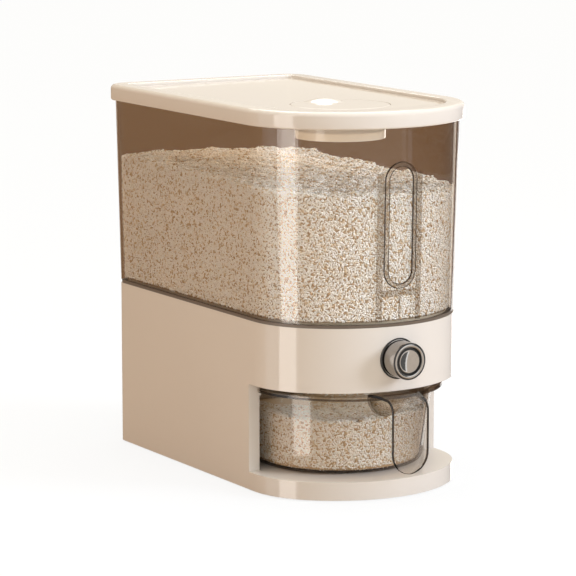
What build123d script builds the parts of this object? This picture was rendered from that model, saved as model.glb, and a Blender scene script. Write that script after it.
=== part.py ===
from build123d import *
from math import asin, degrees, radians, sqrt, tan
import os

# Rice dispenser with a pull-out cup. Millimetres, +Z up, the rounded front faces -Y.
# Every piece is drawn about the middle of the body's plan; settle() then moves it so that
# the origin is the middle of the whole footprint, handle and lid included.

# ---- Plan outline of the body
body_width = 189.0
body_depth = 332.0
front_radius_extra = 10.5   # the rounded front has half the body's width and this much for its radius
shoulder_radius = 72.0      # between the rounded front and the flat sides
back_corner_radius = 12.0

# ---- Heights above the surface it stands on
base_bottom = 1.0           # the feet hold the housing this far up
lip_top = 16.5              # floor of the cup bay
mouth_top = 92.9            # underside of the front band
base_top = 148.0
lid_top = 330.0
lid_height = 14.3

# ---- Walls and fits
base_wall = 3.0
tank_wall = 2.6
lid_wall = 2.6
seat_gap = 0.3              # between a piece and what it rests on
fit_gap = 0.4               # between nested walls
press_gap = 0.1             # round parts pushed into a hole

# ---- Cup bay in the base
jamb_width = 10.5           # the front faces of the bay walls
jamb_setback = 89.0         # from the foremost point of the body
bay_length = 79.0
bay_wall = 2.5
deck_thickness = 2.5

# ---- Funnel
ledge_drop = 5.5
ledge_width = 6.0
ledge_thickness = 2.5
funnel_wall = 2.5
hopper_side_inset = 20.5
hopper_front_inset = 54.0
hopper_back_inset = 14.0
hopper_corner = 8.0
outlet_half_width = 24.0
outlet_front_inset = 68.0
outlet_length = 16.0
outlet_corner = 3.0
valve_plate_half_width = 44.0
valve_plate_margin = 21.0   # beyond the outlet, front and back

# ---- Sliding gate under the outlet
gate_travel = 12.0
gate_thickness = 3.0
gate_half_width = 30.0
gate_seal_overlap = 2.5     # beyond the outlet when shut
gate_tail_overlap = 5.0     # beyond the outlet at the back
gate_slot_inset = 2.0
gate_leg_thickness = 3.0
gate_leg_half_width = 12.0
gate_leg_rise = 11.5        # above the button's axis
guide_floor = 2.7
chute_wall = 2.0
chute_clearance = 2.0       # the chute is this much wider than the outlet all round
chute_drop = 6.2
chute_rise = 0.6            # above the underside of the band

# ---- Push button
button_radius = 15.8
button_reach = 18.0         # how far it stands out of the band
button_wall = 1.8
button_skirt_depth = 23.0
button_edge_fillet = 2.0
button_run_gap = 0.4
insert_radius = 11.4
insert_thickness = 4.0
insert_recess = 1.0
dish_radius = 40.0
dish_depth = 1.2
sleeve_wall = 1.4
sleeve_reach = 0.4
sleeve_depth = 21.0         # behind the outer face of the band
sleeve_web = 2.5
boss_wall = 3.0
boss_depth = 13.0
rod_radius = 5.0
rod_flange_radius = 9.4
rod_flange_thickness = 2.0
rod_run_gap = 0.1
rod_tail_radius = 3.4
rod_tail_length = 4.0       # behind the gate's leg
leg_standoff = 4.0          # from the sleeve's web to the gate's leg
clip_thickness = 1.2
clip_radius = 7.0
clip_groove_depth = 0.8
clip_snap = 0.26            # each side of its mouth grips this much past the groove's width
clip_gap = 0.2
spring_wire = 1.1
spring_radius = 8.0
spring_turns = 6

# ---- Cup and its handle
cup_lift = 1.0              # the cup hangs this far above the bay's floor
cup_headroom = 4.9          # from its rim to the underside of the band
cup_wall = 2.4
cup_side_gap = 4.4          # from the bay wall to the cup's wall at the rim
cup_draft = 5.6             # each side leans in this much towards the floor
cup_front_inset = 13.0      # from the front of the body to the cup's wall at the rim
cup_front_draft = 12.0
cup_back_gap = 16.0         # behind the cup
cup_back_draft = 4.0
cup_corner_radius = 10.0
cup_floor_fillet = 6.0
flange_thickness = 3.0
flange_front_inset = 3.0
flange_front_lap = 2.0      # how far its front covers each jamb
flange_side_gap = 1.3
flange_back_lap = 3.0
flange_corner = 6.0
flange_bridge = 10.0
scoop_radius = 26.0         # finger hollow under the handle
scoop_setback = 15.0        # its centre, in front of the cup's wall at the rim
scoop_drop = 2.0
handle_thickness = 2.4
handle_root_half_width = 25.0
handle_root_lap = 6.0
handle_half_width = 18.3
handle_stand = 18.8         # from the front of the body to the middle of the plate
handle_drop = 3.5
handle_bend = 10.0
handle_lift = 8.0           # its lower end above the lip
rail_width = 3.1
rail_height = 3.4

# ---- Tank
tank_spread = 3.7           # the walls lean out this far by the lid
skirt_wall = 2.5
seal_thickness = 2.6
seal_inset = 0.7
tank_foot_thickness = 2.0
tank_foot_inset = 0.2
bead_width = 4.4
bead_height = 1.8
bead_half_width = 15.8
bead_rise = 29.4            # from the tank's lower edge to the bead
bead_length = 107.6
bead_root = 0.5
rib_height = 0.7            # the flat ribs beside and below the bead
rib_width = 5.4
rib_gap = 0.8               # from the bead to the ribs beside it
rib_drop = 9.6              # they start this far below the bead's top
centre_rib_width = 1.6

# ---- Lid and its moisture box
lid_overhang = 8.0
lid_edge_fillet = 4.0
lid_foot_fillet = 1.8
recess_depth = 3.3
recess_inset = 8.5          # from the body's plan; the deck follows it all round
recess_rim_fillet = 2.0
lid_deck = 3.0
plug_depth = 10.0
plug_wall = 2.2
gasket_thickness = 2.0
gasket_width = 4.0
knob_inset = 95.0           # its centre, from the front of the body
knob_radius = 43.0
knob_disc = 2.3
knob_edge_fillet = 0.6
knob_seat_wall = 3.0
puck_radius = 39.0
puck_height = 25.9
puck_wall = 2.4
puck_seat_height = 4.0
grip_radius = 15.0
grip_offset = 27.0          # its crest, behind the knob's centre
lug_length = 3.0
lug_height = 2.0
lug_half_angle = 14.0
lug_slot_gap = 1.0
twist_to_open = 60.0
grille_thickness = 2.0
grille_hole_radius = 1.6
grille_rings = 4
grille_edge = 4.5           # from the outermost ring of holes to the grille's rim
grille_holes_more = 6       # each ring has this many holes more than the one inside it
sachet_thickness = 12.0
sachet_gap = 3.0
sachet_edge = 4.0
oring_wire = 0.6
oring_squeeze = 0.2
oring_groove = 0.7

# ---- Underside
cover_thickness = 2.5
foot_radius = 9.0
foot_recess = 1.2
foot_inset_x = 20.0
foot_front_inset = 94.0
foot_back_inset = 22.0
screw_radius = 1.6
screw_length = 10.0
screw_head_radius = 3.1
screw_head_height = 1.8
screw_slot_width = 0.8
screw_boss_radius = 4.6
screw_tip_gap = 0.5
pilot_gap = 0.05
cover_screw_inset = 12.0
cover_screw_shares = (0.4, 0.75)            # of the body's depth, from the front
cover_screw_front_x = 31.5
cover_screw_front_inset = 24.0
funnel_screw_inset = 11.0
funnel_screw_shares = (0.3, 0.6, 0.9)       # of the body's depth, from the front

# ---- Places that follow from the sizes above
front_radius = body_width / 2 + front_radius_extra
body_front_y = -body_depth / 2
body_back_y = body_depth / 2
lid_back_y = body_back_y + lid_overhang
lid_bottom = lid_top - lid_height
lid_ceiling = lid_top - lid_wall
tank_bottom = base_top + seal_thickness
tank_top = lid_ceiling - gasket_thickness - seat_gap
deck_underside = lip_top - deck_thickness
cover_top = base_bottom + cover_thickness

jamb_y = body_front_y + jamb_setback
bay_half_width = body_width / 2 - jamb_width
bay_back_y = jamb_y + bay_length

ledge_top = base_top - ledge_drop
funnel_top = ledge_top + funnel_wall
hopper_half_width = body_width / 2 - hopper_side_inset
hopper_front_y = body_front_y + hopper_front_inset
hopper_back_y = body_back_y - hopper_back_inset
outlet_front_y = body_front_y + outlet_front_inset
outlet_back_y = outlet_front_y + outlet_length
valve_plate_front_y = outlet_front_y - valve_plate_margin
valve_plate_back_y = outlet_back_y + valve_plate_margin

chute_bottom = mouth_top + chute_rise
guide_bottom = chute_bottom + chute_drop
guide_top = guide_bottom + guide_floor
gate_bottom = guide_top + seat_gap
gate_top = gate_bottom + gate_thickness
valve_plate_bottom = gate_top + seat_gap
funnel_bottom = valve_plate_bottom + funnel_wall
guide_screw_seat = guide_bottom + screw_head_height

button_z = (mouth_top + base_top) / 2
button_front_y = body_front_y - button_reach
insert_back_y = button_front_y + insert_recess + insert_thickness
rod_flange_back_y = insert_back_y + rod_flange_thickness
sleeve_radius = button_radius + button_run_gap + sleeve_wall
web_back_y = body_front_y + sleeve_depth
web_front_y = web_back_y - sleeve_web
leg_front_y = web_back_y + leg_standoff
leg_back_y = leg_front_y + gate_leg_thickness
clip_front_y = leg_back_y + clip_gap
clip_back_y = clip_front_y + clip_thickness

cup_bottom = lip_top + cup_lift
cup_top = mouth_top - cup_headroom
cup_rim_half_width = bay_half_width - cup_side_gap
cup_floor_half_width = cup_rim_half_width - cup_draft
cup_rim_front_y = body_front_y + cup_front_inset
cup_floor_front_y = cup_rim_front_y + cup_front_draft
cup_back_y = bay_back_y - cup_back_gap
flange_bottom = cup_top - flange_thickness
flange_front_y = body_front_y + flange_front_inset
flange_front_half_width = bay_half_width + flange_front_lap
flange_back_half_width = bay_half_width - flange_side_gap
scoop_y = cup_rim_front_y - scoop_setback
scoop_z = cup_top - scoop_drop
handle_y = body_front_y - handle_stand
handle_front_y = handle_y - handle_thickness / 2
handle_bottom = lip_top + handle_lift

bead_bottom = tank_bottom + bead_rise
bead_top = bead_bottom + bead_length

recess_floor = lid_top - recess_depth
deck_bottom = recess_floor - lid_deck
disc_bottom = recess_floor - knob_disc
puck_top = disc_bottom - seat_gap
puck_bottom = disc_bottom - puck_height
seat_bottom = puck_top - puck_seat_height
lug_top = seat_bottom - seat_gap
knob_y = body_front_y + knob_inset
seat_hole_radius = puck_radius + seat_gap
ring_radius = seat_hole_radius - oring_squeeze - oring_wire
ring_z = (puck_top + seat_bottom) / 2

origin_shift = -(handle_front_y + lid_back_y) / 2


def outline(grow=0.0):
    """The body's plan, grown evenly outwards."""
    side = body_width / 2 + grow
    back = body_back_y + grow
    corner = back_corner_radius + grow
    shoulder_x = body_width / 2 - shoulder_radius
    turn = degrees(asin(shoulder_x / (front_radius - shoulder_radius)))
    front_centre_y = body_front_y + front_radius
    shoulder_y = front_centre_y - sqrt((front_radius - shoulder_radius) ** 2 - shoulder_x**2)
    edges = [
        CenterArc((0, front_centre_y), front_radius + grow, 270 - turn, 2 * turn),
        CenterArc((shoulder_x, shoulder_y), shoulder_radius + grow, 270 + turn, 90 - turn),
        Line((side, shoulder_y), (side, back - corner)),
        CenterArc((side - corner, back - corner), corner, 0, 90),
        Line((side - corner, back), (corner - side, back)),
        CenterArc((corner - side, back - corner), corner, 90, 90),
        Line((-side, back - corner), (-side, shoulder_y)),
        CenterArc((-shoulder_x, shoulder_y), shoulder_radius + grow, 180, 90 - turn),
    ]
    return make_face(edges)


def slab(face, bottom, top):
    """A flat-topped block of a plan face between two heights."""
    return extrude(Pos(0, 0, bottom) * face, top - bottom)


def body_slab(grow, bottom, top):
    """A block of the body's plan between two heights."""
    return slab(outline(grow), bottom, top)


def body_ring(outer, inner, bottom, top):
    """A band that follows the body's plan."""
    return body_slab(outer, bottom, top) - body_slab(inner, bottom, top)


def block(low, high):
    """A box from its lowest to its highest corner."""
    size = [h - l for l, h in zip(low, high)]
    middle = [(h + l) / 2 for l, h in zip(low, high)]
    return Pos(*middle) * Box(*size)


def upright(radius, bottom, top, x=0.0, y=0.0):
    """A vertical cylinder."""
    return Pos(x, y, (bottom + top) / 2) * Cylinder(radius, top - bottom)


def along_y(radius, front, back, z=button_z):
    """A cylinder on the button's axis, from its front end to its back end."""
    return Pos(0, (front + back) / 2, z) * Rot(90, 0, 0) * Cylinder(radius, back - front)


def rounded_plan(half_width, front, back, radius):
    """A rectangle with rounded corners, in plan."""
    return Pos(0, (front + back) / 2) * RectangleRounded(2 * half_width, back - front, radius)


def d_plan(half_width, front, back, corner):
    """Half-round front, straight sides and rounded back corners, in plan."""
    side_start = front + half_width
    edges = [
        CenterArc((0, side_start), half_width, 180, 180),
        Line((half_width, side_start), (half_width, back - corner)),
        CenterArc((half_width - corner, back - corner), corner, 0, 90),
        Line((half_width - corner, back), (corner - half_width, back)),
        CenterArc((corner - half_width, back - corner), corner, 90, 90),
        Line((-half_width, back - corner), (-half_width, side_start)),
    ]
    return make_face(edges)


def mirrored(points):
    """Each (x, y) and its partner on the other side."""
    return [(side * x, y) for x, y in points for side in (-1, 1)]


def screw(x, y, head_seat, up=1):
    """A pan-head screw; up=1 has its head below the seat and its shank above."""
    head_far = head_seat - up * screw_head_height
    tip = head_seat + up * screw_length
    head = upright(screw_head_radius, min(head_seat, head_far), max(head_seat, head_far), x, y)
    shank = upright(screw_radius, min(head_seat, tip), max(head_seat, tip), x, y)
    slot_far = head_far + up * screw_head_height / 2
    slot_low = (x - screw_head_radius, y - screw_slot_width / 2, min(head_far, slot_far))
    slot_high = (x + screw_head_radius, y + screw_slot_width / 2, max(head_far, slot_far))
    return head + shank - block(slot_low, slot_high)


# Where things are fixed, shared by the holes, the bosses and the screws
side_x = body_width / 2
foot_places = mirrored([
    (side_x - foot_inset_x, body_front_y + foot_front_inset),
    (side_x - foot_inset_x, body_back_y - foot_back_inset),
])
cover_screw_places = mirrored([
    (side_x - cover_screw_inset, body_front_y + body_depth * share) for share in cover_screw_shares
]) + mirrored([(cover_screw_front_x, body_front_y + cover_screw_front_inset)])
funnel_screw_places = mirrored([
    (side_x - funnel_screw_inset, body_front_y + body_depth * share)
    for share in funnel_screw_shares
])
guide_screw_x = (gate_half_width + valve_plate_half_width) / 2
guide_screw_places = mirrored([
    (guide_screw_x, valve_plate_front_y + 2 * screw_boss_radius),
    (guide_screw_x, valve_plate_back_y - 2 * screw_boss_radius),
])


def base_shell():
    """Outer housing: walls, front band with the button boss, lip, bay floor and bay walls."""
    shell = body_slab(0, base_bottom, base_top)
    shell -= body_slab(-base_wall, base_bottom, deck_underside)
    shell -= body_slab(-base_wall, lip_top, base_top)
    shell -= block((-body_width, body_front_y, lip_top), (body_width, jamb_y, mouth_top))
    bay = block(
        (-bay_half_width - bay_wall, jamb_y, lip_top),
        (bay_half_width + bay_wall, bay_back_y + bay_wall, mouth_top),
    )
    bay -= block(
        (-bay_half_width, jamb_y, lip_top), (bay_half_width, bay_back_y, mouth_top)
    )
    jambs = block((-body_width / 2, jamb_y, lip_top), (body_width / 2, jamb_y + bay_wall, mouth_top))
    jambs -= block(
        (-bay_half_width, jamb_y, lip_top), (bay_half_width, jamb_y + bay_wall, mouth_top)
    )
    shell += bay + (jambs & body_slab(0, lip_top, mouth_top))
    shell += body_ring(
        -base_wall, -base_wall - ledge_width, ledge_top - ledge_thickness, ledge_top
    )
    boss_radius = sleeve_radius + press_gap + boss_wall
    boss = along_y(boss_radius, body_front_y, body_front_y + boss_depth)
    shell += boss & body_slab(0, mouth_top, base_top)
    shell -= along_y(
        sleeve_radius + press_gap, body_front_y - sleeve_reach, body_front_y + boss_depth
    )
    pilot_bottom = funnel_top - screw_length - screw_tip_gap
    post_bottom = pilot_bottom - ledge_thickness
    for x, y in funnel_screw_places:
        post = upright(screw_boss_radius, post_bottom, ledge_top, x, y)
        shell += post & body_slab(0, mouth_top, base_top)
        shell -= upright(screw_radius + pilot_gap, pilot_bottom, ledge_top, x, y)
    cover_pilot_top = base_bottom + screw_head_height + screw_length + screw_tip_gap
    for x, y in cover_screw_places:
        shell += upright(screw_boss_radius, cover_top, deck_underside, x, y)
        shell -= upright(screw_radius + pilot_gap, cover_top, cover_pilot_top, x, y)
    return shell


def bottom_cover():
    """Flat plate that closes the underside, pocketed for the feet."""
    plate = body_slab(-base_wall - fit_gap, base_bottom, base_bottom + cover_thickness)
    for x, y in foot_places:
        plate -= upright(foot_radius + press_gap, base_bottom, base_bottom + foot_recess, x, y)
    for x, y in cover_screw_places:
        plate -= upright(screw_radius + press_gap, base_bottom, base_bottom + cover_thickness, x, y)
        plate -= upright(
            screw_head_radius + press_gap, base_bottom, base_bottom + screw_head_height, x, y
        )
    return plate


def foot(x, y):
    """Soft pad stuck in its pocket."""
    pad = upright(foot_radius, 0, base_bottom + foot_recess, x, y)
    return chamfer(pad.edges().group_by(Axis.Z)[0], base_bottom / 2)


def bottom_screws():
    """Screws of the bottom cover, their heads sunk flush."""
    seat = base_bottom + screw_head_height
    return Compound([screw(x, y, seat) for x, y in cover_screw_places])


def hopper_taper(grow, lowered):
    """Inverted pyramid from the hopper's mouth to the outlet."""
    mouth = rounded_plan(
        hopper_half_width + grow, hopper_front_y - grow, hopper_back_y + grow, hopper_corner + grow
    )
    outlet = rounded_plan(
        outlet_half_width + grow, outlet_front_y - grow, outlet_back_y + grow, outlet_corner + grow
    )
    sections = [Pos(0, 0, funnel_bottom - lowered) * outlet, Pos(0, 0, funnel_top - lowered) * mouth]
    return loft(sections, ruled=True)


def funnel():
    """Sloped floor of the tank: a flange on the base's ledge, four slopes and the valve plate."""
    flange = body_slab(-base_wall - fit_gap, ledge_top, funnel_top)
    plate = block(
        (-valve_plate_half_width, valve_plate_front_y, valve_plate_bottom),
        (valve_plate_half_width, valve_plate_back_y, funnel_bottom),
    )
    body = flange + hopper_taper(funnel_wall, funnel_wall) + plate
    pilot_top = guide_screw_seat + screw_length + screw_tip_gap
    for x, y in guide_screw_places:
        body += upright(screw_boss_radius, valve_plate_bottom, pilot_top + funnel_wall / 2, x, y)
    body -= hopper_taper(0, 0)
    body -= block(
        (-outlet_half_width, outlet_front_y, valve_plate_bottom),
        (outlet_half_width, outlet_back_y, funnel_bottom),
    )
    for x, y in guide_screw_places:
        body -= upright(screw_radius + pilot_gap, valve_plate_bottom, pilot_top, x, y)
    for x, y in funnel_screw_places:
        body -= upright(screw_radius + press_gap, ledge_top, funnel_top, x, y)
    return body


def funnel_screws():
    """Screws that hold the funnel's flange down on the ledge."""
    return Compound([screw(x, y, funnel_top, up=-1) for x, y in funnel_screw_places])


def gate_guide():
    """Channel and chute under the valve plate; the gate slides in it."""
    guide = block(
        (-valve_plate_half_width, valve_plate_front_y, guide_bottom),
        (valve_plate_half_width, valve_plate_back_y, valve_plate_bottom),
    )
    channel = gate_half_width + seat_gap
    guide -= block(
        (-channel, valve_plate_front_y, guide_top),
        (channel, valve_plate_back_y, valve_plate_bottom),
    )
    low = (-outlet_half_width - chute_clearance, outlet_front_y - chute_clearance)
    high = (outlet_half_width + chute_clearance, outlet_back_y + chute_clearance)
    guide += block(
        (low[0] - chute_wall, low[1] - chute_wall, chute_bottom),
        (high[0] + chute_wall, high[1] + chute_wall, guide_bottom),
    )
    guide -= block((low[0], low[1], chute_bottom), (high[0], high[1], guide_top))
    for x, y in guide_screw_places:
        guide -= upright(screw_radius + press_gap, guide_bottom, valve_plate_bottom, x, y)
        guide -= upright(
            screw_head_radius + press_gap, guide_bottom, guide_screw_seat, x, y
        )
    return guide


def guide_screws():
    """Screws of the gate guide, driven up into the funnel."""
    return Compound([screw(x, y, guide_screw_seat) for x, y in guide_screw_places])


def slide_gate():
    """Shutter plate with a cross slot, and the upright leg that the push rod drives."""
    slot_back = outlet_front_y - gate_seal_overlap
    slot_front = slot_back - gate_travel
    plate_back = outlet_back_y + gate_tail_overlap
    gate = block(
        (-gate_half_width, leg_front_y, gate_bottom), (gate_half_width, plate_back, gate_top)
    )
    gate -= block(
        (gate_slot_inset - outlet_half_width, slot_front, gate_bottom),
        (outlet_half_width - gate_slot_inset, slot_back, gate_top),
    )
    gate += block(
        (-gate_leg_half_width, leg_front_y, gate_bottom),
        (gate_leg_half_width, leg_back_y, button_z + gate_leg_rise),
    )
    gate -= along_y(rod_tail_radius + press_gap, leg_front_y, leg_back_y)
    return gate


def push_rod():
    """Rod from the button to the gate: flange, shaft and a grooved tail for the clip."""
    rod = along_y(rod_flange_radius, insert_back_y, rod_flange_back_y)
    rod += along_y(rod_radius, insert_back_y, leg_front_y)
    rod += along_y(rod_tail_radius, leg_front_y, leg_back_y + rod_tail_length)
    groove = along_y(rod_tail_radius, clip_front_y, clip_back_y)
    groove -= along_y(rod_tail_radius - clip_groove_depth, clip_front_y, clip_back_y)
    return rod - groove


def retaining_clip():
    """Spring clip in the rod's groove, behind the gate's leg."""
    bore = rod_tail_radius - clip_groove_depth
    clip = along_y(clip_radius, clip_front_y, clip_back_y) - along_y(bore, clip_front_y, clip_back_y)
    mouth = bore - clip_snap
    return clip - block(
        (-mouth, clip_front_y, button_z - clip_radius), (mouth, clip_back_y, button_z)
    )


def return_spring():
    """Coil spring between the rod's flange and the sleeve's web."""
    front = rod_flange_back_y + spring_wire
    length = web_front_y - spring_wire - front
    path = Helix(length / spring_turns, length, spring_radius)
    section = Plane(origin=path @ 0, z_dir=path % 0) * Circle(spring_wire / 2)
    return Pos(0, front, button_z) * Rot(-90, 0, 0) * sweep(section, path=path)


def button_sleeve():
    """Fixed guide in the band's boss; its front edge is the dark ring around the button."""
    front = body_front_y - sleeve_reach
    sleeve = along_y(sleeve_radius, front, web_back_y)
    sleeve -= along_y(button_radius + button_run_gap, front, web_front_y)
    return sleeve - along_y(rod_radius + rod_run_gap, web_front_y, web_back_y)


def button_cap():
    """Plated outer ring of the button, with a deep skirt."""
    back = button_front_y + button_skirt_depth
    cap = along_y(button_radius, button_front_y, back)
    cap = fillet(cap.faces().sort_by(Axis.Y)[0].edges(), button_edge_fillet)
    cap -= along_y(insert_radius + press_gap, button_front_y, back)
    return cap - along_y(button_radius - button_wall, insert_back_y, back)


def button_insert():
    """Dished polished disc set into the cap."""
    front = button_front_y + insert_recess
    dish = Pos(0, front + dish_depth - dish_radius, button_z) * Sphere(dish_radius)
    return along_y(insert_radius, front, insert_back_y) - dish


def cup_form(inset, bottom):
    """Solid form of the cup: a half-round front that leans out towards the rim."""
    floor = d_plan(
        cup_floor_half_width - inset, cup_floor_front_y + inset,
        cup_back_y - cup_back_draft - inset, cup_corner_radius,
    )
    rim = d_plan(
        cup_rim_half_width - inset, cup_rim_front_y + inset, cup_back_y - inset, cup_corner_radius
    )
    form = loft([Pos(0, 0, bottom) * floor, Pos(0, 0, cup_top) * rim], ruled=True)
    floor_edges = form.faces().sort_by(Axis.Z)[0].edges()
    return fillet(floor_edges, cup_floor_fillet - inset)


def cup():
    """Clear cup: thin walls, a flange that runs on the rails and stops on the jambs."""
    front = d_plan(flange_front_half_width, flange_front_y, cup_back_y, cup_corner_radius)
    back = rounded_plan(
        flange_back_half_width, jamb_y, cup_back_y + flange_back_lap, flange_corner
    )
    stop_y = jamb_y - seat_gap
    rim = slab(front, flange_bottom, cup_top) & block(
        (-body_width, -body_depth, flange_bottom), (body_width, stop_y, cup_top)
    )
    rim += slab(back, flange_bottom, cup_top)
    rim += block(
        (-flange_back_half_width, stop_y - flange_bridge, flange_bottom),
        (flange_back_half_width, jamb_y + flange_bridge, cup_top),
    )
    body = cup_form(0, cup_bottom) + rim - cup_form(cup_wall, cup_bottom + cup_wall)
    scoop_place = Pos(0, scoop_y, scoop_z)
    below_rim = block((-body_width, -body_depth, cup_bottom), (body_width, 0, flange_bottom))
    scoop = (scoop_place * Sphere(scoop_radius)) & below_rim
    scoop_skin = (scoop_place * Sphere(scoop_radius + cup_wall)) & below_rim & cup_form(0, cup_bottom)
    return body + scoop_skin - scoop


def cup_handle():
    """Clear plate that comes forward from the rim and bends down into a finger pull."""
    half = handle_thickness / 2
    root_y = flange_front_y + handle_root_lap
    root_z = cup_top + half
    route = [
        (root_y, root_z), (flange_front_y - handle_thickness, root_z),
        (handle_y, root_z - handle_drop), (handle_y, handle_bottom - handle_thickness),
    ]
    upper = FilletPolyline([(y - half, z + half) for y, z in route], radius=handle_bend + half)
    lower = FilletPolyline([(y + half, z - half) for y, z in route], radius=handle_bend - half)
    ends = [Line(upper @ 0, lower @ 0), Line(upper @ 1, lower @ 1)]
    profile = Plane.YZ * make_face(upper.edges() + lower.edges() + ends)
    plate = extrude(profile, handle_root_half_width, both=True)
    bend_top = root_z - handle_drop - handle_bend
    tab = Pos(0, 0, handle_bottom + handle_half_width) * Rot(90, 0, 0) * Cylinder(
        handle_half_width, body_depth * 2
    )
    tab += block(
        (-handle_half_width, -body_depth, handle_bottom + handle_half_width),
        (handle_half_width, 0, bend_top),
    )
    tab += block(
        (-handle_root_half_width, -body_depth, bend_top), (handle_root_half_width, 0, lid_top)
    )
    neck_y = handle_y + handle_bend
    plan = make_face(Polyline(
        (-handle_root_half_width, root_y), (-handle_half_width, neck_y),
        (-handle_half_width, -body_depth), (handle_half_width, -body_depth),
        (handle_half_width, neck_y), (handle_root_half_width, root_y), close=True,
    ))
    return plate & tab & slab(plan, 0, lid_top)


def rail(side):
    """Guide strip on a bay wall, under the cup's flange."""
    top = flange_bottom - seat_gap
    inner = bay_half_width - rail_width
    ends = sorted((side * inner, side * bay_half_width))
    return block((ends[0], jamb_y + bay_wall, top - rail_height), (ends[1], cup_back_y, top))


def tank_form(grow, bottom, top):
    """Solid form of the tank: the body's plan, leaning out evenly from the seam upwards."""
    spread_at = [tank_spread * (z - tank_bottom) / (lid_bottom - tank_bottom) for z in (bottom, top)]
    low = Pos(0, 0, bottom) * outline(grow + spread_at[0])
    high = Pos(0, 0, top) * outline(grow + spread_at[1])
    return loft([low, high], ruled=True)


def stadium(half_width, bottom, top):
    """Upright rounded slot, seen from the front, as a long bar along Y."""
    slot = SlotOverall(top - bottom, 2 * half_width, rotation=90)
    bar = extrude(Plane.XZ * slot, body_depth)
    return Pos(0, 0, (top + bottom) / 2) * bar


def tank():
    """Clear storage tank with a raised bead on its front and a skirt that drops into the base."""
    shell = tank_form(0, tank_bottom, tank_top) - tank_form(-tank_wall, tank_bottom, tank_top)
    skirt_outer = -base_wall - fit_gap
    skirt_inner = skirt_outer - skirt_wall
    shell += body_ring(skirt_outer, skirt_inner, funnel_top + seat_gap, tank_bottom)
    shell += body_ring(
        -tank_foot_inset, skirt_inner, tank_bottom, tank_bottom + tank_foot_thickness
    )
    bead = stadium(bead_half_width, bead_bottom, bead_top)
    bead -= stadium(
        bead_half_width - bead_width, bead_bottom + bead_width, bead_top - bead_width
    )
    inner_form = tank_form(-bead_root, tank_bottom, tank_top)
    shell += bead & (tank_form(bead_height, tank_bottom, tank_top) - inner_form)
    rib_inner = bead_half_width + rib_gap
    rib_outer = rib_inner + rib_width
    foot_z = tank_bottom + tank_foot_thickness
    cross_bottom = bead_bottom - rib_gap - rib_width
    ribs = block((-rib_outer, -body_depth, foot_z), (-rib_inner, 0, bead_top - rib_drop))
    ribs += block((rib_inner, -body_depth, foot_z), (rib_outer, 0, bead_top - rib_drop))
    ribs += block((-rib_outer, -body_depth, cross_bottom), (rib_outer, 0, bead_bottom - rib_gap))
    half_centre = centre_rib_width / 2
    ribs += block((-half_centre, -body_depth, foot_z), (half_centre, 0, cross_bottom))
    return shell + (ribs & (tank_form(rib_height, tank_bottom, tank_top) - inner_form))


def tank_seal():
    """Dark soft ring in the seam between base and tank."""
    return body_ring(-seal_inset, seat_gap - base_wall - fit_gap, base_top, tank_bottom)


def recess_plan(grow):
    """Plan of the lid's sunk deck."""
    return outline(grow - recess_inset)


def lug_plan(grow, turned):
    """Plan of the moisture box's two locking lugs, or of the slots that let them through."""
    reach = puck_radius + lug_length + grow
    slope = tan(radians(lug_half_angle)) * reach + grow
    wedge = make_face(Polyline((0, 0), (reach, -slope), (reach, slope), close=True))
    ring = Circle(reach) - Circle(puck_radius - puck_wall / 2)
    return Pos(0, knob_y) * Rot(0, 0, turned) * ((wedge + Rot(0, 0, 180) * wedge) & ring)


def lid():
    """Lid shell: skirt, raised rim, sunk deck, plug wall and the seat of the moisture box."""
    block_form = body_slab(lid_overhang, lid_bottom, lid_top)
    shell = fillet(block_form.faces().sort_by(Axis.Z)[-1].edges(), lid_edge_fillet)
    shell = fillet(shell.faces().sort_by(Axis.Z)[0].edges(), lid_foot_fillet)
    shell -= body_slab(lid_overhang - lid_wall, lid_bottom, lid_ceiling)
    shell += slab(recess_plan(lid_wall), deck_bottom, lid_ceiling)
    shell -= slab(recess_plan(0), recess_floor, lid_top)
    rim = shell.faces().sort_by(Axis.Z)[-1].inner_wires()[0]
    places = [edge.center() for edge in rim.edges()]
    rim_edges = [
        edge for edge in shell.edges().group_by(Axis.Z)[-1]
        if any((edge.center() - place).length < 0.001 for place in places)
    ]
    shell = fillet(rim_edges, recess_rim_fillet)
    plug_outer = tank_spread - tank_wall - fit_gap
    shell += body_ring(plug_outer, plug_outer - plug_wall, lid_ceiling - plug_depth, lid_ceiling)
    knob_well = knob_radius + seat_gap
    shell += upright(knob_well + knob_seat_wall, seat_bottom, deck_bottom, 0, knob_y)
    shell -= upright(seat_hole_radius, seat_bottom, lid_top, 0, knob_y)
    shell -= upright(knob_well, puck_top, lid_top, 0, knob_y)
    return shell - slab(lug_plan(lug_slot_gap, twist_to_open), seat_bottom, puck_top)


def lid_gasket():
    """Soft ring under the lid's rim that presses on the tank's edge."""
    inner = tank_spread - tank_wall - fit_gap
    return body_ring(inner + gasket_width, inner, lid_ceiling - gasket_thickness, lid_ceiling)


def grip_form():
    """Low dome near the knob's back edge that the finger pushes round."""
    curve = (grip_radius**2 + recess_depth**2) / (2 * recess_depth)
    dome = Pos(0, knob_y + grip_offset, lid_top - curve) * Sphere(curve)
    return dome & upright(2 * grip_radius, recess_floor, lid_top, 0, knob_y + grip_offset)


def moisture_knob():
    """Round cap with a raised grip, sunk in the lid's deck."""
    disc = upright(knob_radius, disc_bottom, recess_floor, 0, knob_y)
    disc = fillet(disc.faces().sort_by(Axis.Z)[-1].edges(), knob_edge_fillet)
    return disc + grip_form()


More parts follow.
